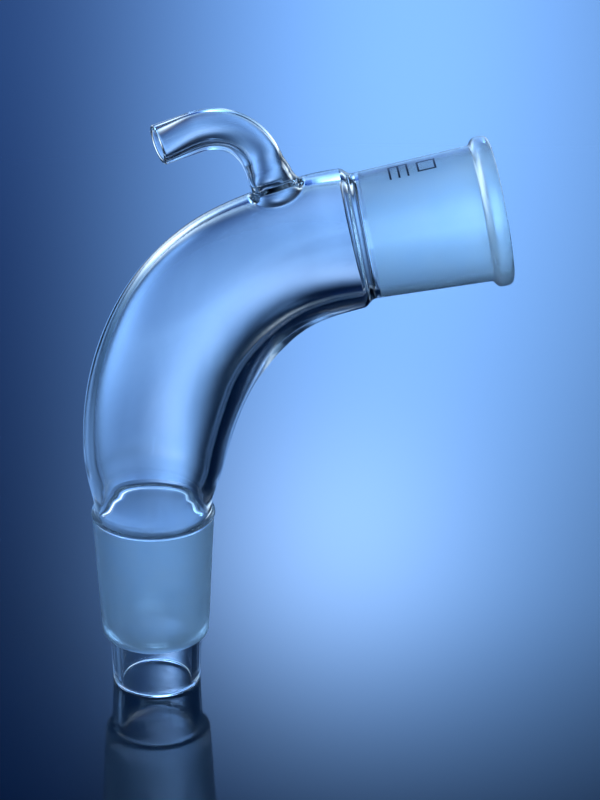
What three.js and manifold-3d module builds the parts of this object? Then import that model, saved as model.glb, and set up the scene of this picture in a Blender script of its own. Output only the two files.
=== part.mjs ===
// A bent vacuum receiver adapter in borosilicate glass: a ground socket at the upper end, a swollen
// bent body, a ground cone with a drip tip at the lower end, and a bent side arm for the vacuum line.
// Millimetres. The origin is the centre of the ground cone's wide end, +Z runs up the cone's axis,
// and +X is the side that the socket points to.
import * as THREE from "three";
import { mergeVertices } from "three/addons/utils/BufferGeometryUtils.js";
import Module from "manifold-3d";

const wasm = await Module();
wasm.setup();

// The standard 29/32 conical joint, which both ground ends follow.
const JOINT_WIDE_RADIUS = 29.2 / 2;
const GROUND_LENGTH = 32;
const JOINT_TAPER = 1 / 20; // change of radius for each mm along the axis
const JOINT_NARROW_RADIUS = JOINT_WIDE_RADIUS - GROUND_LENGTH * JOINT_TAPER;

// Lower end: the cone, its shoulder and the drip tip.
const CONE_WALL = 1.9;
const SHOULDER_ROUND = 1.6;
const TIP_LENGTH = 13;
const TIP_TOP_RADIUS = 11.2;
const TIP_END_RADIUS = 10.7;
const TIP_WALL = 1.7;

// The fused seam between the cone and the body.
const SEAM_HEIGHT = 3.2;
const SEAM_BEAD_RADIUS = 14.8;
const SEAM_BEAD_ROUND = 0.8;
const WAIST_RADIUS = 14;
const SEAM_BORE_RADIUS = 12.3;

// The body: a tube that swells towards the middle of its bend.
const BODY_WALL = 1.8;
const BODY_END_X = 47.5;
const BODY_END_Z = 69.7;
const BODY_START_HANDLE = 48; // how strongly the centreline keeps its first direction
const BODY_END_HANDLE = 25.5;
const SOCKET_RISE = THREE.MathUtils.degToRad(10); // the socket's axis above the horizontal
const BODY_RADII = [
  [0, 14],
  [2.6, 14.6],
  [6.5, 15.6],
  [13, 16.9],
  [28, 18.3],
  [47, 18.9],
  [60, 18.4],
  [72, 17.2],
  [83, 16.6],
  [90.8, 16.5],
]; // distance along the centreline, outer radius

// Upper end: the rounded shoulder of the seam, and the socket with its rolled lip.
const SOCKET_SEAM_LENGTH = 3;
const SOCKET_SEAM_ROUND = 1.5;
const SOCKET_NARROW_RADIUS = 14.8;
const SOCKET_WIDE_RADIUS = 16;
const LIP_LENGTH = 4.3;
const LIP_RADIUS = 17.6;
const LIP_ROUND = 1.3;

// The side arm, in the upright plane that it bends in.
const ARM_X = 29.7;
const ARM_Z = 82.5;
const ARM_TURN = THREE.MathUtils.degToRad(15); // out of the body's plane
const ARM_LEAN = THREE.MathUtils.degToRad(23.5); // of its foot from the vertical
const ARM_RADIUS = 4.7;
const ARM_BORE = 3.5;
const ARM_RISE = 8.4; // straight length above the body
const ARM_BEND_RADIUS = 14;
const ARM_BEND = THREE.MathUtils.degToRad(80);
const ARM_REACH = 8.8; // straight length up to the open end
const ARM_SEAM_HEIGHT = 3;
const ARM_SEAM_FLARE = 1.8;
const ARM_FOOT_DEPTH = 4; // how far the seam's blank reaches into the body before it is trimmed

// Fired-on marks on top of the socket.
const MARK_LIFT = 0.3;
const MARK_TURN = THREE.MathUtils.degToRad(9); // from the top towards the front
const MARK_THICKNESS = 0.15;
const MARK_LINE = 0.45;
const FRAME_MARK_SIZE = 4.4;
const FRAME_MARK_PLACE = 16.5; // along the socket, from its narrow end
const BAR_MARK_LENGTH = 4.6;
const BAR_MARK_WIDTH = 5.6;
const BAR_MARK_PLACE = 10;
const BAR_COUNT = 3;

const GAP = 0.3; // between neighbouring solids
const RIM_ROUND = 0.55; // fire-polished edges
const ROUND_SEGMENTS = 36;
const BODY_STATIONS = 18;
const ARM_STATIONS = 14;
const QUARTER = Math.PI / 2;

const clearGlass = () =>
  new THREE.MeshStandardMaterial({ color: 0xb9d3ea, roughness: 0.03, transparent: true, opacity: 0.4 });
const groundGlass = () =>
  new THREE.MeshStandardMaterial({ color: 0xa7bfd6, roughness: 0.6, transparent: true, opacity: 0.8 });
const enamel = () => new THREE.MeshStandardMaterial({ color: 0x1d2733, roughness: 0.5 });

const point = (radius, height) => new THREE.Vector2(radius, height);

// Points on a rounded corner of a profile.
function corner(radius, height, round, from, to, steps = 4) {
  return Array.from({ length: steps + 1 }, (_, i) => {
    const angle = from + ((to - from) * i) / steps;
    return point(radius + round * Math.cos(angle), height + round * Math.sin(angle));
  });
}

// A closed profile turned about Z. It runs up the outside and down the inside.
function turned(profile) {
  return new THREE.LatheGeometry([...profile, profile[0]], ROUND_SEGMENTS).rotateX(QUARTER);
}

// Lays a turned shape along a path in the XZ plane, so that height becomes distance along the path.
function bent(geometry, path) {
  const length = path.getLength();
  const position = geometry.getAttribute("position");
  for (let i = 0; i < position.count; i++) {
    const along = THREE.MathUtils.clamp(position.getZ(i) / length, 0, 1);
    const centre = path.getPointAt(along);
    const ahead = path.getTangentAt(along);
    const across = position.getX(i);
    position.setXYZ(i, centre.x + across * ahead.y, position.getY(i), centre.y - across * ahead.x);
  }
  return geometry;
}

function toManifold(geometry) {
  const bare = new THREE.BufferGeometry();
  bare.setAttribute("position", geometry.getAttribute("position"));
  bare.setIndex(geometry.getIndex());
  const merged = mergeVertices(bare, 1e-4);
  const triVerts = new Uint32Array(merged.getIndex().array);
  const vertProperties = merged.getAttribute("position").array;
  return new wasm.Manifold(new wasm.Mesh({ numProp: 3, vertProperties, triVerts }));
}

function fromManifold(solid) {
  const mesh = solid.getMesh();
  const geometry = new THREE.BufferGeometry();
  geometry.setAttribute("position", new THREE.BufferAttribute(mesh.vertProperties, 3));
  geometry.setIndex(new THREE.BufferAttribute(mesh.triVerts, 1));
  geometry.computeVertexNormals();
  return geometry;
}

function mesh(name, geometry, material) {
  const made = new THREE.Mesh(geometry, material);
  made.name = name;
  return made;
}

// The ground cone: outside on the standard taper, with a rounded shoulder down to the drip tip.
function groundCone() {
  const bottom = -GROUND_LENGTH;
  return turned([
    point(TIP_TOP_RADIUS, bottom),
    ...corner(JOINT_NARROW_RADIUS - SHOULDER_ROUND, bottom + SHOULDER_ROUND, SHOULDER_ROUND, -QUARTER, 0),
    point(JOINT_WIDE_RADIUS, 0),
    point(JOINT_WIDE_RADIUS - CONE_WALL, 0),
    point(JOINT_NARROW_RADIUS - CONE_WALL, bottom + 2 * SHOULDER_ROUND),
    point(TIP_TOP_RADIUS - TIP_WALL, bottom),
  ]);
}

// The drip tip: a short tapering tube whose end edge is fire-polished round a narrow flat.
function dripTip() {
  const end = -GROUND_LENGTH - TIP_LENGTH;
  const top = -GROUND_LENGTH - GAP;
  return turned([
    ...corner(TIP_END_RADIUS - RIM_ROUND, end + RIM_ROUND, RIM_ROUND, -QUARTER, 0),
    point(TIP_TOP_RADIUS, top),
    point(TIP_TOP_RADIUS - TIP_WALL, top),
    ...corner(TIP_END_RADIUS - TIP_WALL + RIM_ROUND, end + RIM_ROUND, RIM_ROUND, -2 * QUARTER, -QUARTER),
  ]);
}

// The seam between cone and body: a bead of melted glass above the ground zone, then a waist.
function coneSeam() {
  const beadHeight = GAP + SEAM_BEAD_ROUND;
  const top = SEAM_HEIGHT - GAP;
  return turned([
    ...corner(SEAM_BEAD_RADIUS - SEAM_BEAD_ROUND, beadHeight, SEAM_BEAD_ROUND, -QUARTER, QUARTER / 2),
    point(WAIST_RADIUS, top - 0.4),
    point(WAIST_RADIUS, top),
    point(SEAM_BORE_RADIUS, top),
    point(SEAM_BORE_RADIUS, GAP),
  ]);
}

function bodyPath() {
  const start = SEAM_HEIGHT;
  const endX = BODY_END_X - BODY_END_HANDLE * Math.cos(SOCKET_RISE);
  const endZ = BODY_END_Z - BODY_END_HANDLE * Math.sin(SOCKET_RISE);
  const path = new THREE.Path();
  path.moveTo(0, start);
  path.bezierCurveTo(0, start + BODY_START_HANDLE, endX, endZ, BODY_END_X, BODY_END_Z);
  return path;
}

// The body's outline along its centreline, set in or out from the outer wall by an offset.
function bodyOutline(offset) {
  const swell = new THREE.SplineCurve(BODY_RADII.map(([along, radius]) => point(radius, along)));
  return swell.getPoints(BODY_STATIONS).map((p) => point(p.x + offset, p.y));
}

function bodyTube(path) {
  return bent(turned([...bodyOutline(0), ...bodyOutline(-BODY_WALL).reverse()]), path);
}

// The body's outer shape as one solid, a little larger than the wall, for trimming what meets it.
function bodyFilled(path) {
  const outline = bodyOutline(GAP);
  return bent(turned([point(0, 0), ...outline, point(0, outline.at(-1).y)]), path);
}

// The seam between body and socket: a thick shoulder that rounds down from one to the other.
function socketSeam() {
  const end = SOCKET_SEAM_LENGTH - GAP;
  const round = SOCKET_SEAM_ROUND;
  const bodyEnd = BODY_RADII.at(-1)[1];
  return turned([
    point(bodyEnd, GAP),
    ...corner(bodyEnd - round, end - round, round, 0, QUARTER),
    point(JOINT_NARROW_RADIUS, end),
    point(bodyEnd - BODY_WALL, GAP),
  ]);
}

// The ground socket: its bore on the standard taper, its outside ending in a thick rolled lip.
function groundSocket() {
  const lipStart = GROUND_LENGTH - LIP_LENGTH;
  return turned([
    point(SOCKET_NARROW_RADIUS, 0),
    point(SOCKET_WIDE_RADIUS, lipStart),
    ...corner(LIP_RADIUS - LIP_ROUND, lipStart + LIP_ROUND, LIP_ROUND, -QUARTER / 2, 0, 3),
    ...corner(LIP_RADIUS - LIP_ROUND, GROUND_LENGTH - LIP_ROUND, LIP_ROUND, 0, QUARTER),
    point(JOINT_WIDE_RADIUS, GROUND_LENGTH),
    point(JOINT_NARROW_RADIUS, 0),
  ]);
}

function armPath() {
  const start = point(-Math.sin(ARM_LEAN) * ARM_RISE, Math.cos(ARM_LEAN) * ARM_RISE);
  const centre = point(
    start.x - ARM_BEND_RADIUS * Math.cos(ARM_LEAN),
    start.y - ARM_BEND_RADIUS * Math.sin(ARM_LEAN),
  );
  const finish = ARM_LEAN + ARM_BEND;
  const path = new THREE.Path();
  path.moveTo(0, 0);
  path.lineTo(start.x, start.y);
  path.absarc(centre.x, centre.y, ARM_BEND_RADIUS, ARM_LEAN, finish, false);
  path.lineTo(
    centre.x + ARM_BEND_RADIUS * Math.cos(finish) - ARM_REACH * Math.sin(finish),
    centre.y + ARM_BEND_RADIUS * Math.sin(finish) + ARM_REACH * Math.cos(finish),
  );
  return path;
}

// The side arm: a plain tube from above its seam to a fire-polished open end.
function sideArm() {
  const path = armPath();
  const end = path.getLength();
  const rim = RIM_ROUND / 2;
  const heights = Array.from({ length: ARM_STATIONS + 1 }, (_, i) => {
    return THREE.MathUtils.lerp(ARM_SEAM_HEIGHT + GAP, end - 2 * rim, i / ARM_STATIONS);
  });
  return bent(
    turned([
      ...heights.map((height) => point(ARM_RADIUS, height)),
      ...corner(ARM_RADIUS - rim, end - rim, rim, 0, QUARTER, 2),
      ...corner(ARM_BORE + rim, end - rim, rim, QUARTER, 2 * QUARTER, 2),
      ...heights.reverse().map((height) => point(ARM_BORE, height)),
    ]),
    path,
  );
}

// A cylinder or flared foot on the arm's first straight, in the body's frame.
function onArmFoot(geometry) {
  return geometry.rotateY(-ARM_LEAN).rotateZ(ARM_TURN).translate(ARM_X, 0, ARM_Z);
}

function armSeamBlank() {
  const flare = ARM_SEAM_FLARE;
  return onArmFoot(
    turned([
      point(ARM_RADIUS + flare, -ARM_FOOT_DEPTH),
      ...corner(ARM_RADIUS + flare, ARM_SEAM_HEIGHT, flare, -QUARTER, -2 * QUARTER, 5),
      point(ARM_BORE, ARM_SEAM_HEIGHT),
      point(ARM_BORE, -ARM_FOOT_DEPTH),
    ]),
  );
}

function armBore() {
  return onArmFoot(
    turned([
      point(0, -4 * ARM_FOOT_DEPTH),
      point(ARM_BORE, -4 * ARM_FOOT_DEPTH),
      point(ARM_BORE, ARM_FOOT_DEPTH),
      point(0, ARM_FOOT_DEPTH),
    ]),
  );
}

// A mark on top of the socket: a flat outline pushed through a thin skin that floats on the glass.
function socketMark(outline, place) {
  const radiusAt = (z) =>
    THREE.MathUtils.mapLinear(z, 0, GROUND_LENGTH - LIP_LENGTH, SOCKET_NARROW_RADIUS, SOCKET_WIDE_RADIUS);
  const reach = 4;
  const inner = (z) => radiusAt(z) + MARK_LIFT;
  const outer = (z) => inner(z) + MARK_THICKNESS;
  const skin = turned([
    point(outer(place - reach), place - reach),
    point(outer(place + reach), place + reach),
    point(inner(place + reach), place + reach),
    point(inner(place - reach), place - reach),
  ]);
  const depth = SOCKET_WIDE_RADIUS;
  const punch = new THREE.ExtrudeGeometry(outline, { depth, bevelEnabled: false });
  punch.rotateY(-QUARTER).rotateZ(MARK_TURN).translate(0, 0, place);
  return fromManifold(toManifold(skin).intersect(toManifold(punch)));
}

function rectangle(shape, low, high) {
  shape.moveTo(low.x, low.y);
  shape.lineTo(high.x, low.y);
  shape.lineTo(high.x, high.y);
  shape.lineTo(low.x, high.y);
  shape.closePath();
  return shape;
}

// A plain square outline.
function frameMark() {
  const half = FRAME_MARK_SIZE / 2;
  const inner = half - MARK_LINE;
  const outline = rectangle(new THREE.Shape(), point(-half, -half), point(half, half));
  outline.holes.push(rectangle(new THREE.Path(), point(-inner, -inner), point(inner, inner)));
  return socketMark(outline, FRAME_MARK_PLACE);
}

// A comb of plain bars on one spine.
function barMark() {
  const halfLength = BAR_MARK_LENGTH / 2;
  const halfWidth = BAR_MARK_WIDTH / 2;
  const pitch = (BAR_MARK_LENGTH - MARK_LINE) / (BAR_COUNT - 1);
  const outline = new THREE.Shape();
  outline.moveTo(-halfLength, -halfWidth);
  outline.lineTo(halfLength, -halfWidth);
  for (let i = BAR_COUNT - 1; i >= 0; i--) {
    const left = -halfLength + i * pitch;
    outline.lineTo(left + MARK_LINE, halfWidth);
    outline.lineTo(left, halfWidth);
    if (i > 0) {
      outline.lineTo(left, -halfWidth + MARK_LINE);
      outline.lineTo(left - pitch + MARK_LINE, -halfWidth + MARK_LINE);
    }
  }
  outline.closePath();
  return socketMark(outline, BAR_MARK_PLACE);
}

const adapter = new THREE.Group();
adapter.add(mesh("cone_joint", groundCone(), groundGlass()));
adapter.add(mesh("drip_tip", dripTip(), clearGlass()));
adapter.add(mesh("cone_seam", coneSeam(), clearGlass()));

const centreline = bodyPath();
const body = toManifold(bodyTube(centreline)).subtract(toManifold(armBore()));
adapter.add(mesh("bent_body", fromManifold(body), clearGlass()));

const armSeam = toManifold(armSeamBlank()).subtract(toManifold(bodyFilled(centreline)));
adapter.add(mesh("side_arm_seam", fromManifold(armSeam), clearGlass()));

const arm = new THREE.Group();
arm.position.set(ARM_X, 0, ARM_Z);
arm.rotation.z = ARM_TURN;
arm.add(mesh("side_arm", sideArm(), clearGlass()));
adapter.add(arm);

const upperEnd = new THREE.Group();
upperEnd.position.set(BODY_END_X, 0, BODY_END_Z);
upperEnd.rotation.y = QUARTER - SOCKET_RISE;
upperEnd.add(mesh("socket_seam", socketSeam(), clearGlass()));
adapter.add(upperEnd);

const socket = new THREE.Group();
socket.position.z = SOCKET_SEAM_LENGTH;
socket.add(mesh("socket_joint", groundSocket(), groundGlass()));
socket.add(mesh("frame_mark", frameMark(), enamel()));
socket.add(mesh("bar_mark", barMark(), enamel()));
upperEnd.add(socket);

export default adapter;
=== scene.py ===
"""A bent vacuum receiver adapter in clear and ground borosilicate glass, on a plain polished floor.

The adapter is one piece of fused glass. Each piece below is a closed mesh that stands for one CAD node.
Neighbours share a cut across the glass, and the cut carries a fully transparent material, so light runs
through it as it does through fused glass. The adapter's lengths are in millimetres until a mesh is made.
The floor and the lights are in metres.
"""
import math

import bpy
import numpy as np
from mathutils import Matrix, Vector


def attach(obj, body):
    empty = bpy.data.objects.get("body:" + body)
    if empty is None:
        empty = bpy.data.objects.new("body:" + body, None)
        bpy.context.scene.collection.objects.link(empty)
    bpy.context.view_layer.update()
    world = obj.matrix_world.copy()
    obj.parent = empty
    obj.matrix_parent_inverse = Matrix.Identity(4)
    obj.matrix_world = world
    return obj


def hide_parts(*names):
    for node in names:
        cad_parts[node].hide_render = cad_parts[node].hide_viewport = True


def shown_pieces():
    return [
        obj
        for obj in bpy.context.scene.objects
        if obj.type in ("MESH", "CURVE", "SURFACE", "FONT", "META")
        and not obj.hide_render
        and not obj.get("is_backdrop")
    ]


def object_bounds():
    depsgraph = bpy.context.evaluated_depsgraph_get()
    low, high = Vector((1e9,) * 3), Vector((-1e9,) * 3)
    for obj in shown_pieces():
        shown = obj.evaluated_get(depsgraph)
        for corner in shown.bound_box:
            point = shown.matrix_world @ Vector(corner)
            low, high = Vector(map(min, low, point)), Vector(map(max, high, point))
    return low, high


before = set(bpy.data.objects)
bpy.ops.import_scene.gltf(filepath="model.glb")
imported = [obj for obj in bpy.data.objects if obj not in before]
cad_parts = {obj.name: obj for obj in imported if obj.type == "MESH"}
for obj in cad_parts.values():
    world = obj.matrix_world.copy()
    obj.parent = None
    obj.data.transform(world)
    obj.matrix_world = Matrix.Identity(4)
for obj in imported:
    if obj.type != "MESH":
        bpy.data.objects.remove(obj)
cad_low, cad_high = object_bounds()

MM = 0.001
TURN = 2 * math.pi

# The standard 29/32 conical joint.
JOINT_WIDE = 14.6
JOINT_NARROW = 13.0
GROUND_LENGTH = 32.0

# Lower end.
TIP_END = -45.0
TIP_END_RADIUS = 10.7
TIP_TOP_RADIUS = 11.2
TIP_BORE_END = 8.5
TIP_BORE_TOP = 8.9
TIP_RIM = 0.75  # radius of the fire-polished end
SHOULDER_ROUND = 1.6
CONE_BORE = 12.7
BODY_START = 3.2

# Bent body: the centreline in the XZ plane.
BODY_END_X = 47.5
BODY_END_Z = 69.7
START_HANDLE = 48.0
END_HANDLE = 25.5
SOCKET_RISE = math.radians(10)

# Upper end, measured from the end of the body.
SEAM_LENGTH = 3.0
SOCKET_NARROW = 14.8
SOCKET_WIDE = 15.96
LIP_LENGTH = 4.3
LIP_RADIUS = 17.6
LIP_FILLET = 0.7
LIP_FILLET_LENGTH = 0.9  # how far before the lip its fillet starts
MOUTH_RADIUS = 15.1
MOUTH_RIM = 0.5

# Side arm.
ARM_X = 29.7
ARM_Z = 82.5
ARM_TURN = math.radians(15)
ARM_LEAN = math.radians(23.5)
ARM_RADIUS = 4.7
ARM_BORE = 3.5
ARM_RISE = 8.4
ARM_BEND_RADIUS = 14.0
ARM_BEND = math.radians(80)
ARM_REACH = 8.8
ARM_RIM = 0.5
ARM_SEAM_HEIGHT = 3.0
FOOT_FLARE = 0.45
FOOT_BORE_FLARE = 0.4
BEND_GATHER = 0.45  # how far the bore is off centre in the arm's bend
PLUG_RADIUS = 8.0  # the disc of body wall that belongs to the arm's seam

# Height of the waviness that lampwork leaves in each surface.
BODY_RIPPLE = 0.03
BODY_BORE_RIPPLE = 0.04
ARM_RIPPLE = 0.02
ARM_BORE_RIPPLE = 0.03

SEGMENTS = 160
ARM_SEGMENTS = 96


def ease(x):
    """A smooth step from 0 to 1."""
    x = np.clip(x, 0, 1)
    return x * x * (3 - 2 * x)


def catmull(points, count):
    """Points along a uniform Catmull-Rom spline, as (count, 2)."""
    p = np.array(points, float)
    t = np.linspace(0, len(p) - 1, count)
    i = np.minimum(t.astype(int), len(p) - 2)
    w = (t - i)[:, None]
    a, b, c, d = p[np.maximum(i - 1, 0)], p[i], p[i + 1], p[np.minimum(i + 2, len(p) - 1)]
    v0, v1 = (c - a) / 2, (d - b) / 2
    return (2 * b - 2 * c + v0 + v1) * w**3 + (3 * c - 3 * b - 2 * v0 - v1) * w**2 + v0 * w + b


class Spine:
    """A centreline that lies in a plane, read by distance along it."""

    def __init__(self, points, start):
        points = np.array(points, float)
        steps = np.diff(points, axis=0)
        self.along = start + np.concatenate([[0], np.cumsum(np.hypot(*steps.T))])
        self.points = points
        ways = np.gradient(points, self.along, axis=0)
        self.ways = ways / np.hypot(*ways.T)[:, None]

    def at(self, along):
        """Centre and direction in the plane, carried straight on past both ends."""
        held = np.clip(along, self.along[0], self.along[-1])
        centre = np.stack([np.interp(held, self.along, self.points[:, k]) for k in (0, 1)], -1)
        way = np.stack([np.interp(held, self.along, self.ways[:, k]) for k in (0, 1)], -1)
        return centre + way * (along - held)[..., None], way

    def place(self, along, radius, angle):
        """Points round the centreline. Angle 0 is the inner side of the bend."""
        along, radius, angle = np.broadcast_arrays(along, radius, angle)
        centre, way = self.at(along)
        out = radius * np.cos(angle)
        return np.stack(
            [centre[..., 0] + out * way[..., 1], radius * np.sin(angle), centre[..., 1] - out * way[..., 0]],
            -1,
        )


def bezier(p0, p1, p2, p3, count):
    """Points along a cubic Bezier curve."""
    t = np.linspace(0, 1, count)[:, None]
    p0, p1, p2, p3 = (np.array(p, float) for p in (p0, p1, p2, p3))
    return (1 - t) ** 3 * p0 + 3 * (1 - t) ** 2 * t * p1 + 3 * (1 - t) * t**2 * p2 + t**3 * p3


end_way = np.array([math.cos(SOCKET_RISE), math.sin(SOCKET_RISE)])
body_end = np.array([BODY_END_X, BODY_END_Z])
body_curve = bezier(
    (0, BODY_START), (0, BODY_START + START_HANDLE), body_end - END_HANDLE * end_way, body_end, 4000)
spine = Spine(body_curve, BODY_START)
BODY_END = spine.along[-1]
SOCKET_START = BODY_END + SEAM_LENGTH
MOUTH = SOCKET_START + GROUND_LENGTH

# Distance along the body, outer radius, then the wall on the outer and on the inner side of the bend.
BODY_SECTIONS = [
    (0.0, 14.05, 2.1, 2.1),
    (2.6, 14.6, 2.7, 2.7),
    (6.5, 15.6, 3.0, 3.1),
    (13.0, 16.9, 2.8, 3.2),
    (28.0, 18.3, 2.4, 3.5),
    (47.0, 18.9, 2.0, 3.7),
    (60.0, 18.4, 2.0, 3.7),
    (72.0, 17.2, 2.1, 3.4),
    (81.0, 16.75, 2.25, 3.05),
    (85.0, 16.65, 2.35, 2.9),
    (88.0, 16.55, 2.5, 2.75),
    (90.8, 16.4, 2.6, 2.6),
]
BODY_OUTER, BODY_THIN, BODY_THICK = (
    catmull([(row[0], row[k]) for row in BODY_SECTIONS], 600) for k in (1, 2, 3)
)


def bend_share(along):
    """0 at the body's ends and 1 in the middle of its bend."""
    u = (along - BODY_START) / (BODY_END - BODY_START)
    return ease(u / 0.3) * ease((1 - u) / 0.22)


def ripple(along, angle, size):
    """The faint hand-worked waviness of a blown and bent tube."""
    wave = (
        np.sin(along / 9.1 + 1.3 * np.cos(angle + 0.6))
        + 0.7 * np.sin(2 * angle + along / 13.7)
        + 0.5 * np.sin(3 * angle - along / 6.3 + 2.1)
    )
    return size * wave * bend_share(along)


def body_outer(along, angle):
    """Outer radius of the body."""
    radius = np.interp(along - BODY_START, *BODY_OUTER.T)
    return radius + ripple(along, angle, BODY_RIPPLE)


def body_inner(along, angle):
    """Radius of its bore. Bending thins the wall outside the bend and thickens it inside."""
    thin, thick = (np.interp(along - BODY_START, *wall.T) for wall in (BODY_THIN, BODY_THICK))
    wall = thin + (thick - thin) * (0.5 + 0.5 * np.cos(angle))
    return body_outer(along, angle) - wall + ripple(along, angle + 2.0, BODY_BORE_RIPPLE)


def arc(along, radius, size, start, stop, steps):
    """Points (along, radius) on an arc. 0 degrees points away from the axis and 90 degrees along it."""
    a = np.radians(np.linspace(start, stop, steps + 1))
    return np.stack([along + size * np.sin(a), radius + size * np.cos(a)], -1)


def line(a, b, steps=1):
    """Points along a straight line."""
    t = np.linspace(0, 1, steps + 1)[:, None]
    return np.array(a, float) * (1 - t) + np.array(b, float) * t


# ---------------------------------------------------------------- materials

GLASS_IOR = 1.473
# Painted shade: the clear glass's colour runs from white face-on to these blues at grazing angles, to darken
# its edges.
EDGE_SHADE_FAINT = (0.93, 0.96, 0.99, 1)
EDGE_SHADE_DEEP = (0.72, 0.82, 0.95, 1)
GROUND_DARK = (0.76, 0.89, 1.0, 1)
GROUND_LIGHT = (0.84, 0.93, 1.0, 1)
ENAMEL_DARK = (0.008, 0.018, 0.05, 1)
ENAMEL_LIGHT = (0.03, 0.055, 0.12, 1)


def material(name):
    """A new material, its node tree and its output node."""
    m = bpy.data.materials.new(name)
    m.use_nodes = True
    tree = m.node_tree
    tree.nodes.clear()
    out = tree.nodes.new("ShaderNodeOutputMaterial")
    return m, tree, out


def node(tree, kind, **values):
    """A node whose named inputs and settings are set to these values."""
    n = tree.nodes.new("ShaderNode" + kind)
    for key, value in values.items():
        if key in n.inputs:
            n.inputs[key].default_value = value
        else:
            setattr(n, key, value)
    return n


def ramp(tree, factor, *stops):
    """A colour ramp with stops of (place, colour), where a plain number stands for a grey."""
    n = tree.nodes.new("ShaderNodeValToRGB")
    n.color_ramp.elements[0].position = stops[0][0]
    n.color_ramp.elements[-1].position = stops[-1][0]
    for place, _ in stops[1:-1]:
        n.color_ramp.elements.new(place)
    for element, (_, colour) in zip(n.color_ramp.elements, stops):
        element.color = colour if isinstance(colour, tuple) else (colour, colour, colour, 1)
    tree.links.new(factor, n.inputs["Fac"])
    return n


def seam_cut():
    """The cut between two fused pieces: nothing at all to light."""
    m, tree, out = material("fused_cut")
    clear = node(tree, "BsdfTransparent", Color=(1, 1, 1, 1))
    tree.links.new(clear.outputs[0], out.inputs["Surface"])
    return m


def clear_glass():
    """Clear glass with low waves in its surface, and painted shade towards its edges."""
    m, tree, out = material("clear_glass")
    link = tree.links.new
    place = node(tree, "TexCoord")
    glass = node(tree, "BsdfPrincipled", IOR=GLASS_IOR, Roughness=0.0)
    glass.inputs["Transmission Weight"].default_value = 1.0
    # Painted shade: the colour darkens from white towards blue at grazing angles and draws dark lines along
    # the glass's edges, standing in for long paths through the wall.
    facing = node(tree, "LayerWeight", Blend=0.5)
    tint = ramp(tree, facing.outputs["Facing"], (0.0, 1.0), (0.8, EDGE_SHADE_FAINT), (1.0, EDGE_SHADE_DEEP))
    link(tint.outputs["Color"], glass.inputs["Base Color"])
    waves = node(tree, "TexNoise", Scale=90.0, Detail=2.0, Roughness=0.45)
    link(place.outputs["Object"], waves.inputs["Vector"])
    bump = node(tree, "Bump", Strength=0.06, Distance=0.0006)
    link(waves.outputs["Fac"], bump.inputs["Height"])
    link(bump.outputs["Normal"], glass.inputs["Normal"])
    link(glass.outputs[0], out.inputs["Surface"])
    return m


def ground_glass(name, way, roughness, clearness):
    """Ground glass: rough, with a fine grain and faint rings round the joint's axis from the grinding."""
    m, tree, out = material(name)
    link = tree.links.new
    place = node(tree, "TexCoord")
    glass = node(tree, "BsdfPrincipled", IOR=GLASS_IOR)
    glass.inputs["Transmission Weight"].default_value = clearness
    cloud = node(tree, "TexNoise", Scale=160.0, Detail=3.0, Roughness=0.6)
    link(place.outputs["Object"], cloud.inputs["Vector"])
    tone = ramp(tree, cloud.outputs["Fac"], (0.3, GROUND_DARK), (0.7, GROUND_LIGHT))
    link(tone.outputs["Color"], glass.inputs["Base Color"])
    rough = ramp(tree, cloud.outputs["Fac"], (0.3, roughness - 0.05), (0.7, roughness + 0.05))
    link(rough.outputs["Color"], glass.inputs["Roughness"])
    along = node(tree, "VectorMath", operation="DOT_PRODUCT")
    along.inputs[1].default_value = way
    link(place.outputs["Object"], along.inputs[0])
    stretch = node(tree, "CombineXYZ")
    link(along.outputs["Value"], stretch.inputs["X"])
    rings = node(tree, "TexNoise", Scale=2600.0, Detail=2.0, Roughness=0.6)
    link(stretch.outputs[0], rings.inputs["Vector"])
    grain = node(tree, "TexNoise", Scale=5200.0, Detail=1.0)
    link(place.outputs["Object"], grain.inputs["Vector"])
    both = node(tree, "Math", operation="ADD")
    link(rings.outputs["Fac"], both.inputs[0])
    link(grain.outputs["Fac"], both.inputs[1])
    bump = node(tree, "Bump", Strength=0.25, Distance=0.00008)
    link(both.outputs[0], bump.inputs["Height"])
    link(bump.outputs["Normal"], glass.inputs["Normal"])
    link(glass.outputs[0], out.inputs["Surface"])
    return m


def enamel():
    """Fired-on dark blue enamel, slightly uneven."""
    m, tree, out = material("blue_enamel")
    link = tree.links.new
    place = node(tree, "TexCoord")
    paint = node(tree, "BsdfPrincipled", Roughness=0.45)
    cloud = node(tree, "TexNoise", Scale=1400.0, Detail=3.0)
    link(place.outputs["Object"], cloud.inputs["Vector"])
    tone = ramp(tree, cloud.outputs["Fac"], (0.3, ENAMEL_DARK), (0.7, ENAMEL_LIGHT))
    link(tone.outputs["Color"], paint.inputs["Base Color"])
    bump = node(tree, "Bump", Strength=0.3, Distance=0.00003)
    link(cloud.outputs["Fac"], bump.inputs["Height"])
    link(bump.outputs["Normal"], paint.inputs["Normal"])
    link(paint.outputs[0], out.inputs["Surface"])
    return m


socket_way = (end_way[0], 0, end_way[1])
MATERIALS = {
    "clear": clear_glass(),
    "cone": ground_glass("ground_glass_outside", (0, 0, 1), roughness=0.38, clearness=0.89),
    "bore": ground_glass("ground_glass_bore", socket_way, roughness=0.34, clearness=0.68),
    "cut": seam_cut(),
    "enamel": enamel(),
}

# ---------------------------------------------------------------- meshes

SHARP_ANGLE = math.radians(35)


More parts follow.
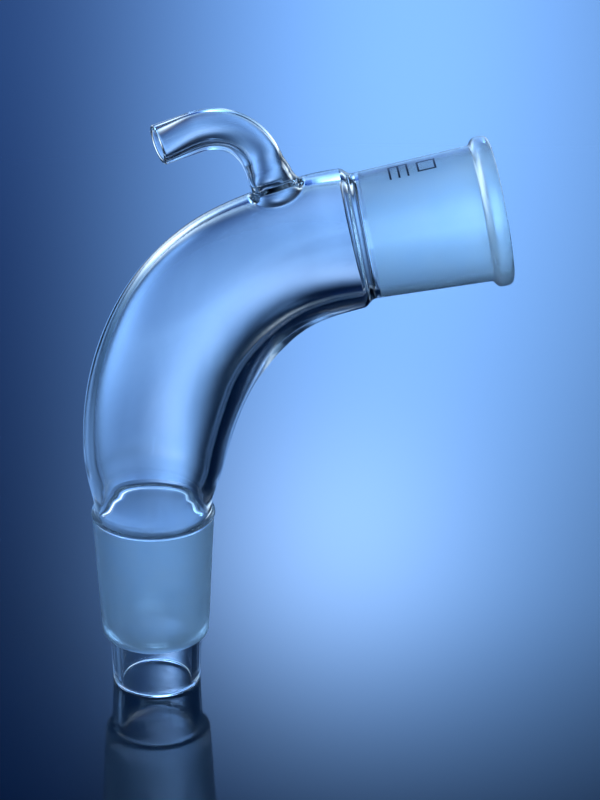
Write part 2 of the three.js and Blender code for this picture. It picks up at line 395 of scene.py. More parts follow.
def piece(name, points, faces, tags, node_name):
    """A closed mesh that stands for one CAD node, with a tag for the material of each face."""
    mesh = bpy.data.meshes.new(name)
    mesh.from_pydata((np.asarray(points) * MM).tolist(), [], [list(map(int, f)) for f in faces])
    used = sorted(set(tags), key=list(MATERIALS).index)
    for tag in used:
        mesh.materials.append(MATERIALS[tag])
    mesh.polygons.foreach_set("material_index", [used.index(t) for t in tags])
    mesh.polygons.foreach_set("use_smooth", [True] * len(faces))
    mesh.set_sharp_from_angle(angle=SHARP_ANGLE)
    mesh.update()
    made = bpy.data.objects.new(name, mesh)
    bpy.context.scene.collection.objects.link(made)
    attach(made, "root")
    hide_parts(node_name)
    return made


def ring_faces(first, second, count):
    """Quads between two closed rings whose points start at these indices."""
    j = np.arange(count)
    k = (j + 1) % count
    return np.stack([first + j, first + k, second + k, second + j], -1)


def turned(name, runs, place, segments, node_name):
    """A closed outline of tagged runs turned round a centreline.

    Each run is (tag, along, radius), where radius is one number for each point or one row for each point
    with a number for each angle. A run starts where the one before it ends, and the last ends at the start.
    """
    angle = np.arange(segments) * TURN / segments
    alongs, radii, tags = [], [], []
    for tag, along, radius in runs:
        radius = np.asarray(radius, float)
        if radius.ndim == 1:
            radius = np.repeat(radius[:, None], segments, 1)
        alongs += list(along[:-1])
        radii += list(radius[:-1])
        tags += [tag] * (len(along) - 1)
    rings = len(alongs)
    points = place(np.array(alongs)[:, None], np.array(radii), angle[None, :]).reshape(-1, 3)
    faces, face_tags = [], []
    for i in range(rings):
        faces.append(ring_faces(i * segments, (i + 1) % rings * segments, segments))
        face_tags += [tags[i]] * segments
    return piece(name, points, np.concatenate(faces), face_tags, node_name)


def run(tag, points):
    """A run of an outline for turned(), from points (along, radius)."""
    points = np.asarray(points, float)
    return tag, points[:, 0], points[:, 1]


def joined(*parts):
    """Several lists of points as one, with the doubled ends dropped."""
    kept = [parts[0]]
    for part in parts[1:]:
        kept.append(part[1:] if np.allclose(part[0], kept[-1][-1], atol=1e-6) else part)
    return np.concatenate(kept)


def cut(a, b):
    """The run across the glass where a piece meets its neighbour."""
    return run("cut", [a, b])


# Drip tip: a tapering tube with a fire-polished end.
tip_low = TIP_END + TIP_RIM
tip_top = (-GROUND_LENGTH, TIP_TOP_RADIUS)
tip_top_in = (-GROUND_LENGTH, TIP_BORE_TOP)
tip_outside = joined(
    arc(tip_low, TIP_END_RADIUS - TIP_RIM, TIP_RIM, -90, 0, 10),
    line((tip_low, TIP_END_RADIUS), tip_top, 12),
)
tip_inside = joined(
    line(tip_top_in, (tip_low, TIP_BORE_END), 12),
    arc(tip_low, TIP_BORE_END + TIP_RIM, TIP_RIM, -180, -90, 10),
)
turned(
    "drip_tip_glass",
    [
        run("clear", tip_outside),
        cut(tip_top, tip_top_in),
        run("clear", joined(tip_inside, line(tip_inside[-1], tip_outside[0]))),
    ],
    spine.place, SEGMENTS, "drip_tip",
)

# Cone: ground outside on the standard taper, with a rounded shoulder at its lower end.
shoulder_low = -GROUND_LENGTH + SHOULDER_ROUND
cone_outside = joined(
    line(tip_top, (-GROUND_LENGTH, JOINT_NARROW - SHOULDER_ROUND), 1),
    arc(shoulder_low, JOINT_NARROW - SHOULDER_ROUND, SHOULDER_ROUND, -90, 0, 14),
    line((shoulder_low, JOINT_NARROW), (0, JOINT_WIDE), 30),
)
cone_bore_end = (0.0, CONE_BORE)
cone_inside = catmull(
    [cone_bore_end, (-10, 12.1), (-20, 11.5), (-26, 11.1), (-28.6, 10.6), (-30.2, 9.7), (-31.2, 9.1),
     tip_top_in], 60)
turned(
    "cone_joint_glass",
    [
        run("cone", cone_outside),
        cut(cone_outside[-1], cone_bore_end),
        run("clear", cone_inside),
        cut(tip_top_in, tip_top),
    ],
    spine.place, SEGMENTS, "cone_joint",
)

# Seam between cone and body: a bead of melted glass, then a waist.
_, start_radius, start_wall, _ = BODY_SECTIONS[0]
body_start_out = (BODY_START, start_radius)
body_start_in = (BODY_START, start_radius - start_wall)
seam_outside = catmull(
    [(0, JOINT_WIDE), (0.2, 14.75), (0.6, 14.9), (1.0, 14.8), (1.5, 14.45), (2.2, 14.15),
     body_start_out], 40)
seam_inside = catmull([body_start_in, (2.2, 12.1), (1.1, 12.4), cone_bore_end], 20)
turned(
    "cone_seam_glass",
    [
        run("clear", seam_outside),
        cut(body_start_out, body_start_in),
        run("clear", seam_inside),
        cut(cone_bore_end, (0, JOINT_WIDE)),
    ],
    spine.place, SEGMENTS, "cone_seam",
)

# Seam between body and socket: a thick rounded shoulder.
_, end_radius, end_wall, _ = BODY_SECTIONS[-1]
body_end_out = (BODY_END, end_radius)
body_end_in = (BODY_END, end_radius - end_wall)
socket_out = (SOCKET_START, SOCKET_NARROW)
socket_in = (SOCKET_START, JOINT_NARROW)
shoulder_outside = catmull(
    [body_end_out, (BODY_END + 0.6, 16.1), (BODY_END + 1.3, 15.5), (BODY_END + 2.1, 14.98), socket_out], 30)
shoulder_inside = catmull(
    [socket_in, (BODY_END + 1.5, 13.0), (BODY_END + 0.8, 13.02), (BODY_END + 0.4, 13.15),
     (BODY_END + 0.15, 13.45), body_end_in], 40)
turned(
    "socket_seam_glass",
    [
        run("clear", shoulder_outside),
        cut(socket_out, socket_in),
        run("clear", shoulder_inside),
        cut(body_end_in, body_end_out),
    ],
    spine.place, SEGMENTS, "socket_seam",
)

# Socket: the bore ground on the standard taper, the outside clear, the end rolled into a thick lip.
lip_start = MOUTH - LIP_LENGTH
fillet_start = (lip_start - LIP_FILLET_LENGTH, SOCKET_WIDE)
fillet = arc(fillet_start[0], SOCKET_WIDE + LIP_FILLET, LIP_FILLET, 180, 115, 8)
lip_end = (MOUTH, 16.2)
lip = catmull(
    [fillet[-1], (lip_start + 0.15, 16.95), (lip_start + 0.75, 17.45), (lip_start + 1.4, LIP_RADIUS),
     (MOUTH - 1.5, LIP_RADIUS), (MOUTH - 0.8, 17.4), (MOUTH - 0.25, 16.9), lip_end], 60)
socket_outside = joined(line(socket_out, fillet_start, 24), fillet, lip)
mouth_in = (MOUTH - MOUTH_RIM, JOINT_WIDE)
mouth_face = joined(
    line(lip_end, (MOUTH, MOUTH_RADIUS), 3),
    arc(mouth_in[0], MOUTH_RADIUS, MOUTH_RIM, 90, 180, 8),
)
bore_end = (SOCKET_START + 1.0, JOINT_NARROW + 0.03)
turned(
    "socket_joint_glass",
    [
        run("clear", joined(socket_outside, mouth_face)),
        run("bore", line(mouth_in, bore_end, 30)),
        run("clear", line(bore_end, socket_in, 2)),
        cut(socket_in, socket_out),
    ],
    spine.place, SEGMENTS, "socket_joint",
)

# ---------------------------------------------------------------- side arm


def arm_frame(points):
    """From the arm's own frame, where its foot starts at the origin, to the body's frame."""
    c, s = math.cos(ARM_TURN), math.sin(ARM_TURN)
    x, y, z = points[..., 0], points[..., 1], points[..., 2]
    return np.stack([ARM_X + c * x - s * y, s * x + c * y, ARM_Z + z], -1)


FOOT_WAY = np.array([-math.sin(ARM_LEAN), math.cos(ARM_LEAN)])
foot_top = FOOT_WAY * ARM_RISE
bend_centre = foot_top - ARM_BEND_RADIUS * np.array([math.cos(ARM_LEAN), math.sin(ARM_LEAN)])
sweep = ARM_LEAN + np.linspace(0, 1, 400)[:, None] * ARM_BEND
bend_points = bend_centre + ARM_BEND_RADIUS * np.concatenate([np.cos(sweep), np.sin(sweep)], 1)
last_way = np.array([-math.sin(ARM_LEAN + ARM_BEND), math.cos(ARM_LEAN + ARM_BEND)])
arm_spine = Spine(
    np.concatenate([
        line((0, 0), foot_top, 100)[:-1],
        bend_points,
        line(bend_points[-1], bend_points[-1] + ARM_REACH * last_way, 100)[1:],
    ]),
    0.0,
)
ARM_END = arm_spine.along[-1]


def arm_place(along, radius, angle):
    """Points round the side arm's centreline, in the body's frame."""
    return arm_frame(arm_spine.place(along, radius, angle))


def arm_wave(along, angle, size):
    """The faint waviness of a bent tube, none at its ends."""
    share = ease((along - ARM_SEAM_HEIGHT) / 6) * ease((ARM_END - along) / 3)
    return size * share * (np.sin(along / 3.1 + 1.7 * np.cos(angle)) + 0.6 * np.sin(2 * angle - along / 4.7))


arm_angle = np.arange(ARM_SEGMENTS) * TURN / ARM_SEGMENTS
tube = np.linspace(ARM_SEAM_HEIGHT, ARM_END - ARM_RIM, 90)


def arm_outer(along, angle):
    """The tube's outside, which still widens towards its foot."""
    foot = FOOT_FLARE * (1 - ease((along - ARM_SEAM_HEIGHT) / 4))
    return ARM_RADIUS + foot + arm_wave(along, angle, ARM_RIPPLE)


def arm_inner(along, angle):
    """The tube's bore, off centre in the bend because the glass gathers on its inner side."""
    foot = FOOT_BORE_FLARE * (1 - ease((along - ARM_SEAM_HEIGHT) / 4))
    gather = BEND_GATHER * ease((along - ARM_SEAM_HEIGHT) / 7) * ease((ARM_END - along) / 9)
    return ARM_BORE + foot + gather * np.cos(angle) + arm_wave(along, angle + 1.0, ARM_BORE_RIPPLE)


outer_radius = arm_outer(tube[:, None], arm_angle)
inner_radius = arm_inner(tube[::-1, None], arm_angle)
rim_out = arc(ARM_END - ARM_RIM, ARM_RADIUS - ARM_RIM, ARM_RIM, 0, 90, 8)
rim_in = arc(ARM_END - ARM_RIM, ARM_BORE + ARM_RIM, ARM_RIM, 90, 180, 8)
FOOT_RADIUS = float(arm_outer(ARM_SEAM_HEIGHT, 0.0))
FOOT_BORE = float(arm_inner(ARM_SEAM_HEIGHT, 0.0))
arm_out_start = (ARM_SEAM_HEIGHT, FOOT_RADIUS)
arm_in_start = (ARM_SEAM_HEIGHT, FOOT_BORE)
turned(
    "side_arm_glass",
    [
        ("clear", tube, outer_radius),
        run("clear", joined(rim_out, rim_in)),
        ("clear", tube[::-1], inner_radius),
        cut(arm_in_start, arm_out_start),
    ],
    arm_place, ARM_SEGMENTS, "side_arm",
)

# The foot's own axes in the body's frame.
foot_origin = arm_frame(np.zeros(3))
foot_x = arm_frame(np.array([FOOT_WAY[1], 0, -FOOT_WAY[0]])) - foot_origin
foot_y = arm_frame(np.array([0.0, 1.0, 0.0])) - foot_origin
foot_z = np.cross(foot_x, foot_y)


def on_surface(radius_of, across, guess):
    """Where lines along the foot's axis, at these places across it, meet a surface of the body.

    The answer is (distance along the body, angle) for each line, found by Newton's method.
    """
    found = np.array(guess, float)
    step = 1e-4

    def miss(q):
        at = spine.place(q[:, 0], radius_of(q[:, 0], q[:, 1]), q[:, 1]) - foot_origin
        return np.stack([at @ foot_x, at @ foot_y], -1) - across

    def cross(a, b):
        return a[:, 0] * b[:, 1] - a[:, 1] * b[:, 0]

    for _ in range(30):
        off = miss(found)
        by_along = (miss(found + [step, 0]) - off) / step
        by_angle = (miss(found + [0, step]) - off) / step
        scale = cross(by_along, by_angle)[:, None]
        found = found - np.stack([cross(off, by_angle), cross(by_along, off)], -1) / scale
    return found


def foot_guess():
    """The point of the centreline under the foot, as a first guess for on_surface()."""
    reach = foot_origin - np.stack([spine.points[:, 0], 0 * spine.points[:, 0], spine.points[:, 1]], -1)
    nearest = np.argmin((reach**2).sum(1))
    return spine.along[nearest], math.pi


def circle(radius, angles):
    """Points of a circle, as (count, 2)."""
    return radius * np.stack([np.cos(angles), np.sin(angles)], -1)


start_guess = np.tile(foot_guess(), (ARM_SEGMENTS, 1))


def foot_height(radius_of, radius):
    """Height along the foot's axis of the body's surface on a circle round that axis."""
    along, angle = on_surface(radius_of, circle(radius, arm_angle), start_guess).T
    return (spine.place(along, radius_of(along, angle), angle) - foot_origin) @ foot_z


def foot_ring(radius, height):
    """A ring round the foot's axis with a height for each angle, as points in the body's frame."""
    x, y = circle(radius, arm_angle).T
    return foot_origin + x[:, None] * foot_x + y[:, None] * foot_y + height[:, None] * foot_z


def blend(p0, p1, p2, p3, steps):
    """Bezier curves between rings given as (radius, height) with a value for each angle."""
    rows = []
    for t in np.linspace(0, 1, steps + 1):
        w = ((1 - t) ** 3, 3 * (1 - t) ** 2 * t, 3 * (1 - t) * t**2, t**3)
        rows.append(tuple(sum(k * p[i] for k, p in zip(w, (p0, p1, p2, p3))) for i in (0, 1)))
    return rows


def flare(radius_of, tube_radius, leave, along_surface, up_tube):
    """Rings from the plug's edge over the body's surface and up to the top of the foot.

    They leave the surface at one radius. The last two lengths are the handles of the curve from there.
    """
    rows = [(r, foot_height(radius_of, r)) for r in np.linspace(PLUG_RADIUS, leave, 5)]
    edge = rows[-1]
    step = 0.2
    slope = (edge[1] - foot_height(radius_of, leave + step)) / step
    along = (leave - along_surface, edge[1] + slope * along_surface)
    below_top = (tube_radius, ARM_SEAM_HEIGHT - up_tube)
    return rows[:-1] + blend(edge, along, below_top, (tube_radius, ARM_SEAM_HEIGHT), 16)


outer_flare = flare(body_outer, FOOT_RADIUS, leave=7.2, along_surface=1.5, up_tube=1.6)
inner_flare = flare(body_inner, FOOT_BORE, leave=6.2, along_surface=1.4, up_tube=2.4)
foot_rings = [foot_ring(*row) for row in outer_flare + inner_flare[::-1]]
foot_tags = ["clear"] * (len(outer_flare) - 1) + ["cut"] + ["clear"] * (len(inner_flare) - 1) + ["cut"]
foot_faces = np.concatenate([
    ring_faces(i * ARM_SEGMENTS, (i + 1) % len(foot_rings) * ARM_SEGMENTS, ARM_SEGMENTS)
    for i in range(len(foot_rings))
])
piece(
    "side_arm_seam_glass", np.concatenate(foot_rings), foot_faces, np.repeat(foot_tags, ARM_SEGMENTS),
    "side_arm_seam",
)

# ---------------------------------------------------------------- body with the hole for the plug

BODY_RINGS = 110
WINDOW_ALONG = 10.5
WINDOW_ANGLE = 0.68
WINDOW_LAYERS = 8
grid_along = np.linspace(BODY_START, BODY_END, BODY_RINGS)
grid_angle = np.arange(SEGMENTS) * TURN / SEGMENTS
hole_centre = on_surface(body_outer, np.zeros((1, 2)), start_guess[:1])[0]
low_ring, high_ring = np.searchsorted(grid_along, hole_centre[0] + np.array([-1, 1]) * WINDOW_ALONG)
low_column, high_column = np.searchsorted(grid_angle, hole_centre[1] + np.array([-1, 1]) * WINDOW_ANGLE)


def strip(a, b):
    """Quads between two closed rings of vertex numbers."""
    return np.stack([a, np.roll(a, -1), np.roll(b, -1), b], -1)


def body_skin(radius_of, first_index, round_angle=None):
    """One surface of the body, with a round hole where the arm's plug goes.

    The surface is a grid of rings, apart from a window round the hole. In the window, rings run from the
    window's edge to the hole, and every point lies on the true surface. The answer is the points, the
    faces, the vertex numbers of both end rings and of the hole's ring, and the angles of the hole's points.
    """
    grid = np.stack(np.meshgrid(grid_along, grid_angle, indexing="ij"), -1).reshape(-1, 2)
    index = np.arange(len(grid)).reshape(BODY_RINGS, SEGMENTS)
    faces = []
    for i in range(BODY_RINGS - 1):
        for j in range(SEGMENTS):
            if low_ring <= i < high_ring and low_column <= j < high_column:
                continue
            k = (j + 1) % SEGMENTS
            faces.append((index[i, j], index[i, k], index[i + 1, k], index[i + 1, j]))
    border = np.concatenate([
        index[low_ring, low_column:high_column],
        index[low_ring:high_ring, high_column],
        index[high_ring, high_column:low_column:-1],
        index[high_ring:low_ring:-1, low_column],
    ])
    edge = grid[border]
    if round_angle is None:
        # Where the foot's axis sees each point of the border, which gives the hole's matching point.
        seen = spine.place(edge[:, 0], radius_of(edge[:, 0], edge[:, 1]), edge[:, 1]) - foot_origin
        round_angle = np.arctan2(seen @ foot_y, seen @ foot_x)
    guess = np.tile(hole_centre, (len(border), 1))
    hole = on_surface(radius_of, circle(PLUG_RADIUS, round_angle), guess)
    layers = [edge + (hole - edge) * t for t in np.linspace(0, 1, WINDOW_LAYERS + 1)[1:]]
    ring = border
    for layer in range(WINDOW_LAYERS):
        inner_ring = len(grid) + layer * len(border) + np.arange(len(border))
        faces += strip(ring, inner_ring).tolist()
        ring = inner_ring
    along, angle = np.concatenate([grid] + layers).T
    points = spine.place(along, radius_of(along, angle), angle)
    faces, ends, hole_ring = (np.array(part) + first_index for part in (faces, index[[0, -1]], ring))
    return points, faces, ends, hole_ring, round_angle


outside, outside_faces, outside_ends, outside_hole, matched = body_skin(body_outer, 0)
inside, inside_faces, inside_ends, inside_hole, _ = body_skin(body_inner, len(outside), matched)

caps = np.concatenate([
    strip(inside_ends[0], outside_ends[0]),
    strip(outside_ends[1], inside_ends[1]),
    strip(outside_hole, inside_hole),
])
body_points = np.concatenate([outside, inside])
body_faces = np.concatenate([outside_faces, inside_faces[:, ::-1], caps])
body_tags = ["clear"] * (len(outside_faces) + len(inside_faces)) + ["cut"] * len(caps)
used_points = np.unique(body_faces)
renumber = np.zeros(len(body_points), int)
renumber[used_points] = np.arange(len(used_points))
piece(
    "bent_body_glass", body_points[used_points], renumber[body_faces], body_tags, "bent_body",
)

# ---------------------------------------------------------------- enamel marks

MARK_TURN = math.radians(9)
MARK_LINE = 0.45
MARK_PROUD = 0.03
MARK_GAP = 0.004  # between the enamel's underside and the glass
MARK_STEP = 0.25
FRAME_SIZE = 4.4
FRAME_PLACE = 16.5
BAR_LENGTH = 4.6
BAR_WIDTH = 5.6
BAR_PLACE = 10.0
BAR_COUNT = 3


def socket_radius(along):
    """Outer radius of the socket at a distance from its narrow end."""
    return SOCKET_NARROW + (SOCKET_WIDE - SOCKET_NARROW) * along / (fillet_start[0] - SOCKET_START)


def printed(name, node_name, place, alongs, acrosses, filled):
    """Enamel printed on the socket: the filled cells of a small grid, as one thin closed skin."""
    rows, columns = filled.shape
    radius = socket_radius(place)
    points, faces = [], []
    lookup = {}

    def vertex(i, j, level):
        if (i, j, level) not in lookup:
            lookup[i, j, level] = len(points)
            along = place + alongs[i]
            angle = math.pi + MARK_TURN + acrosses[j] / radius
            height = MARK_PROUD if level else MARK_GAP
            points.append(spine.place(SOCKET_START + along, socket_radius(along) + height, angle))
        return lookup[i, j, level]

    def solid(i, j):
        return 0 <= i < rows and 0 <= j < columns and filled[i, j]

    for i in range(rows):
        for j in range(columns):
            if not filled[i, j]:
                continue
            ring = [(i, j), (i, j + 1), (i + 1, j + 1), (i + 1, j)]
            faces.append([vertex(*c, 1) for c in ring])
            faces.append([vertex(*c, 0) for c in reversed(ring)])
            beside = [(i - 1, j), (i, j + 1), (i + 1, j), (i, j - 1)]
            for k in range(4):
                if not solid(*beside[k]):
                    a, b = ring[k], ring[(k + 1) % 4]
                    faces.append([vertex(*b, 1), vertex(*a, 1), vertex(*a, 0), vertex(*b, 0)])
    return piece(name, np.array(points), faces, ["enamel"] * len(faces), node_name)


def grid_lines(*edges):
    """The edges, with steps between them small enough to follow the curve of the socket."""
    marks = []
    for a, b in zip(edges[:-1], edges[1:]):
        count = max(1, round((b - a) / MARK_STEP))
        marks += np.linspace(a, b, count, endpoint=False).tolist()
    return np.array(marks + [edges[-1]])


def between(marks, start, stop):
    """Which of the cells between these grid lines lie between two places."""
    middles = (marks[1:] + marks[:-1]) / 2
    return (middles > start) & (middles < stop)


half = FRAME_SIZE / 2
frame_lines = grid_lines(-half, -half + MARK_LINE, half - MARK_LINE, half)
hollow = between(frame_lines, -half + MARK_LINE, half - MARK_LINE)
printed("frame_mark_enamel", "frame_mark", FRAME_PLACE, frame_lines, frame_lines, ~np.outer(hollow, hollow))

pitch = (BAR_LENGTH - MARK_LINE) / (BAR_COUNT - 1)
bar_starts = [-BAR_LENGTH / 2 + i * pitch for i in range(BAR_COUNT)]
bar_edges = sorted(bar_starts + [s + MARK_LINE for s in bar_starts])
bar_alongs = grid_lines(*bar_edges)
bar_acrosses = grid_lines(-BAR_WIDTH / 2, -BAR_WIDTH / 2 + MARK_LINE, BAR_WIDTH / 2)
in_bar = sum(between(bar_alongs, s, s + MARK_LINE) for s in bar_starts) > 0
in_spine = between(bar_acrosses, -BAR_WIDTH / 2, -BAR_WIDTH / 2 + MARK_LINE)
bar_cells = in_bar[:, None] | in_spine[None, :]
printed("bar_mark_enamel", "bar_mark", BAR_PLACE, bar_alongs, bar_acrosses, bar_cells)

# ---------------------------------------------------------------- floor

scene = bpy.context.scene
FLOOR_Z = cad_low.z
FLOOR_HALF = 4.0
FLOOR_POLISH = 0.06
FLOOR_DARK = (0.020, 0.055, 0.115, 1)
FLOOR_LIGHT = (0.023, 0.060, 0.12, 1)


def floor_material():
    """A polished blue sheet that gives back the glow of the room."""
    m, tree, out = material("polished_floor")
    link = tree.links.new
    place = node(tree, "TexCoord")
    cloud = node(tree, "TexNoise", Scale=3.0, Detail=2.0)
    link(place.outputs["Object"], cloud.inputs["Vector"])
    tone = ramp(tree, cloud.outputs["Fac"], (0.3, FLOOR_DARK), (0.7, FLOOR_LIGHT))
    paint = node(tree, "BsdfPrincipled", Roughness=FLOOR_POLISH, IOR=1.45)
    link(tone.outputs["Color"], paint.inputs["Base Color"])
    link(paint.outputs[0], out.inputs["Surface"])
    return m


corner_signs = ((-1, -1), (1, -1), (1, 1), (-1, 1))
floor_corners = [(x * FLOOR_HALF, y * FLOOR_HALF, FLOOR_Z) for x, y in corner_signs]
floor_mesh = bpy.data.meshes.new("floor")
floor_mesh.from_pydata(floor_corners, [], [(0, 1, 2, 3)])
floor_mesh.materials.append(floor_material())
floor = bpy.data.objects.new("floor", floor_mesh)
scene.collection.objects.link(floor)
floor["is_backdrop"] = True

# ---------------------------------------------------------------- lights

# Colours of light, and the height of the lamps over the floor.
COOL = (0.78, 0.91, 1.0)
BLUE = (0.22, 0.476, 1.0)
PALE = (0.80, 0.90, 1.0)
SKY_BLUE = (0.32, 0.62, 1.0)
POOL_HEIGHT = 1.2


def receivers(name, objects):
    """A collection of the only objects that a light is for."""
    made = bpy.data.collections.new(name)
    for lit in objects:
        made.objects.link(lit)
    return made


glass_only = receivers("glass_only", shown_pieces())
floor_only = receivers("floor_only", [floor])
ground_pieces = [bpy.data.objects[name] for name in ("cone_joint_glass", "socket_joint_glass")]
ground_only = receivers("ground_only", ground_pieces)


def lamp(name, kind, place, aim, power, colour, only, **settings):
    """A light that the camera doesn't see."""
    data = bpy.data.lights.new(name, kind)
    data.energy = power
    data.color = colour
    for key, value in settings.items():
        setattr(data, key, value)
    made = bpy.data.objects.new(name, data)
    scene.collection.objects.link(made)
    made.location = Vector(place)
    made.rotation_euler = (Vector(aim) - Vector(place)).to_track_quat("-Z", "Y").to_euler()
    made.visible_camera = False
    made.light_linking.receiver_collection = only
    return made


def soft_card(name, place, aim, brightness, colour, size, fade):
    """A card of light on the glass that fades as a gaussian from its middle, fade being its lengths."""
    width, height = size
    power = brightness * math.pi * width * height
    card = lamp(name, "AREA", place, aim, power, colour, glass_only,
                shape="RECTANGLE", size=width, size_y=height)
    card.data.use_nodes = True
    tree = card.data.node_tree
    link = tree.links.new
    here = node(tree, "NewGeometry")
    offset = node(tree, "VectorMath", operation="SUBTRACT")
    offset.inputs[1].default_value = place
    scaled = node(tree, "VectorMath", operation="DIVIDE")
    scaled.inputs[1].default_value = fade
    squared = node(tree, "VectorMath", operation="DOT_PRODUCT")
    negative = node(tree, "Math", operation="MULTIPLY")
    negative.inputs[1].default_value = -1
    fall = node(tree, "Math", operation="EXPONENT")
    link(here.outputs["Position"], offset.inputs[0])
    link(offset.outputs[0], scaled.inputs[0])
    link(scaled.outputs[0], squared.inputs[0])
    link(scaled.outputs[0], squared.inputs[1])
    link(squared.outputs["Value"], negative.inputs[0])
    link(negative.outputs[0], fall.inputs[0])
    link(fall.outputs[0], tree.nodes["Emission"].inputs["Strength"])


def floor_pool(name, x, y, power, reach):
    """A soft round pool of light on the floor, beside the patch that the main view shows."""
    pool = lamp(name, "SPOT", (x, y, FLOOR_Z + POOL_HEIGHT), (x, y, FLOOR_Z), power, PALE, floor_only,
                spot_size=2 * math.atan(reach / POOL_HEIGHT), spot_blend=1.0, shadow_soft_size=0.01,
                use_shadow=False)
    pool.visible_glossy = False


soft_card("back_card", place=(-0.125, 0.5, 0.06), aim=(0, 0, 0.06), brightness=2.4, colour=COOL,
          size=(0.34, 0.20), fade=(0.075, 1.0, 0.07))
soft_card("right_card", place=(0.30, 0.40, 0.05), aim=(0, 0, 0.05), brightness=2.2, colour=COOL,
          size=(0.48, 0.18), fade=(0.13, 0.13, 0.06))
soft_card("low_card", place=(-0.045, 0.27, FLOOR_Z + 0.001), aim=(-0.045, 0.27, 1.0), brightness=1.5,
          colour=BLUE, size=(0.20, 0.60), fade=(0.046, 0.17, 1.0))
soft_card("top_card", place=(0.0, 0.1, 0.9), aim=(0, 0.1, 0), brightness=0.5, colour=PALE,
          size=(1.0, 1.0), fade=(0.35, 0.35, 1.0))
ground_card = lamp("ground_card", "AREA", place=(0.25, -0.9, 0.45), aim=(0, 0, 0), power=34,
                   colour=SKY_BLUE, only=ground_only, shape="SQUARE", size=1.2)
ground_card.visible_glossy = False
floor_pool("pool_left", x=-0.56, y=0.52, power=190, reach=0.58)
floor_pool("pool_right", x=0.48, y=-0.54, power=190, reach=0.58)
floor_pool("pool_side", x=-0.95, y=-0.1, power=190, reach=0.70)
floor_pool("pool_front", x=-0.02, y=-0.80, power=190, reach=0.62)
floor_pool("pool_near", x=-0.54, y=-0.62, power=150, reach=0.60)

# ---------------------------------------------------------------- room

ROOM_HIGH = (0.003, 0.008, 0.02, 1)
ROOM_LOW = (0.012, 0.03, 0.08, 1)
GLOW_BLUE = (0.46, 1.0, 2.05)
GLOW_PALE = (0.68, 1.0, 1.6)
GLOW_DEEP = (0.0, 0.12, 1.0)
GLOW_HORIZON = (0.50, 0.93, 1.50)
GLOW_TOP = 33.8  # degrees above the horizon where the glow behind the object has gone
GLOW_TOP_FADE = 5.4
HORIZON_STRENGTH = 0.75


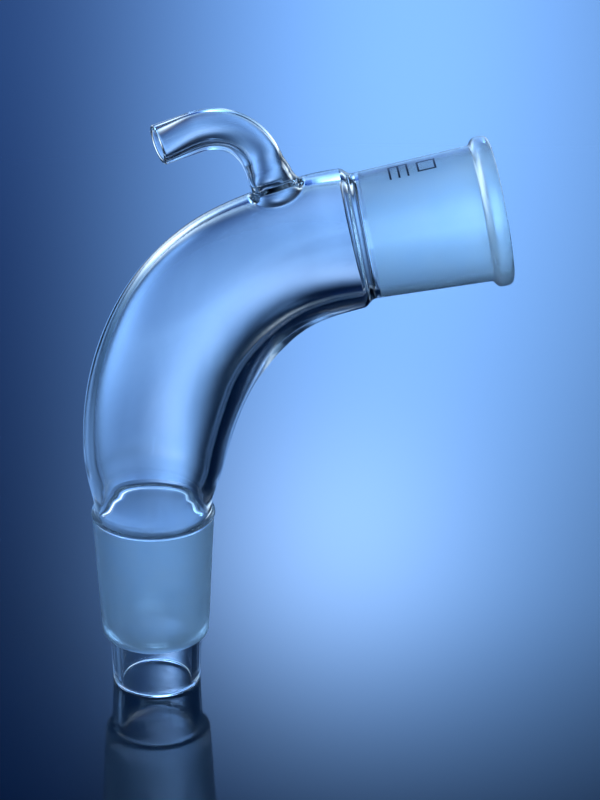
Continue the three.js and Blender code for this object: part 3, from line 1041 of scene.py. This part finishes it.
def room():
    """A dim room with a soft blue glow behind the object, which the polished floor gives back.

    A place in it is a heading, in degrees from +Y towards +X, and a rise above the horizon.
    """
    world = bpy.data.worlds.new("dim_room")
    scene.world = world
    world.use_nodes = True
    tree = world.node_tree
    tree.nodes.clear()
    link = tree.links.new

    def maths(operation, *values):
        n = node(tree, "Math", operation=operation)
        for socket, value in zip(n.inputs, values):
            if isinstance(value, (int, float)):
                socket.default_value = value
            else:
                link(value, socket)
        return n.outputs[0]

    def bell(value, middle, width):
        """1 in the middle, falling off as a gaussian on both sides."""
        away = maths("DIVIDE", maths("SUBTRACT", value, middle), width)
        return maths("EXPONENT", maths("MULTIPLY", -1, maths("POWER", away, 2)))

    place = node(tree, "TexCoord")
    split = node(tree, "SeparateXYZ")
    link(place.outputs["Generated"], split.inputs[0])
    x, y, z = split.outputs
    heading = maths("DEGREES", maths("ARCTAN2", x, y))
    rise = maths("DEGREES", maths("ARCSINE", z))

    def glow(strength, at, size):
        spot = maths("MULTIPLY", bell(heading, at[0], size[0]), bell(rise, at[1], size[1]))
        return maths("MULTIPLY", strength, spot)

    def gap(at, width):
        return maths("SUBTRACT", 1, bell(heading, at, width))

    behind = maths("ADD", glow(3.7, at=(6.0, 26), size=(4.8, 13)), glow(1.2, at=(11.5, 24), size=(5.0, 13)))
    below_top = maths("MAXIMUM", 0, maths("DIVIDE", maths("SUBTRACT", GLOW_TOP, rise), GLOW_TOP_FADE))
    wide = maths("MULTIPLY", behind, maths("SMOOTH_MIN", 1, below_top, 0.2))
    sides = maths("ADD", glow(1.5, at=(-42, 27), size=(9, 9)), glow(1.4, at=(135, 20), size=(14, 12)))
    pool = glow(2.7, at=(5.0, 27.6), size=(3.0, 2.6))
    deep = glow(0.5, at=(1, 20), size=(12, 13))
    # A glow along the horizon, with a dark gap on each side that draws the dark lines in the glass.
    gaps = maths("MULTIPLY", gap(at=-52, width=20), gap(at=72, width=18))
    band = bell(rise, middle=4, width=7)
    horizon = maths("MULTIPLY", HORIZON_STRENGTH, maths("MULTIPLY", band, gaps))
    colour = ramp(tree, z, (0.0, ROOM_LOW), (0.35, ROOM_HIGH)).outputs["Color"]
    for level, tint in (
        (wide, GLOW_BLUE),
        (sides, GLOW_BLUE),
        (pool, GLOW_PALE),
        (deep, GLOW_DEEP),
        (horizon, GLOW_HORIZON),
    ):
        tinted = node(tree, "VectorMath", operation="SCALE")
        tinted.inputs[0].default_value = tint
        link(level, tinted.inputs["Scale"])
        added = node(tree, "VectorMath", operation="ADD")
        link(colour, added.inputs[0])
        link(tinted.outputs[0], added.inputs[1])
        colour = added.outputs[0]
    back = node(tree, "Background", Strength=1.0)
    out = node(tree, "OutputWorld")
    link(colour, back.inputs["Color"])
    link(back.outputs[0], out.inputs["Surface"])


room()

# ---------------------------------------------------------------- camera

# The place, angle and lens that make every outline fall where it does in the photograph.
CAMERA_PLACE = Vector((-12.89, -637.16, 321.1)) * MM
CAMERA_HEADING = math.radians(4.33)
CAMERA_DROP = math.radians(24.58)
CAMERA_LENS = 133.3
CAMERA_SENSOR = 36
camera_data = bpy.data.cameras.new("camera")
camera_data.lens = CAMERA_LENS
camera_data.sensor_width = CAMERA_SENSOR
camera_data.clip_start = 0.01
camera_data.clip_end = 20
camera = bpy.data.objects.new("camera", camera_data)
scene.collection.objects.link(camera)
camera.location = CAMERA_PLACE
look = Vector((
    math.sin(CAMERA_HEADING) * math.cos(CAMERA_DROP),
    math.cos(CAMERA_HEADING) * math.cos(CAMERA_DROP),
    -math.sin(CAMERA_DROP),
))
camera.rotation_euler = look.to_track_quat("-Z", "Y").to_euler()
scene.camera = camera

# Light crosses many walls of glass on its way.
scene.cycles.max_bounces = 24
scene.cycles.transmission_bounces = 24
scene.cycles.transparent_max_bounces = 48
scene.cycles.glossy_bounces = 12
scene.cycles.use_denoising = True
scene.view_settings.view_transform = "Standard"

bpy.context.view_layer.update()
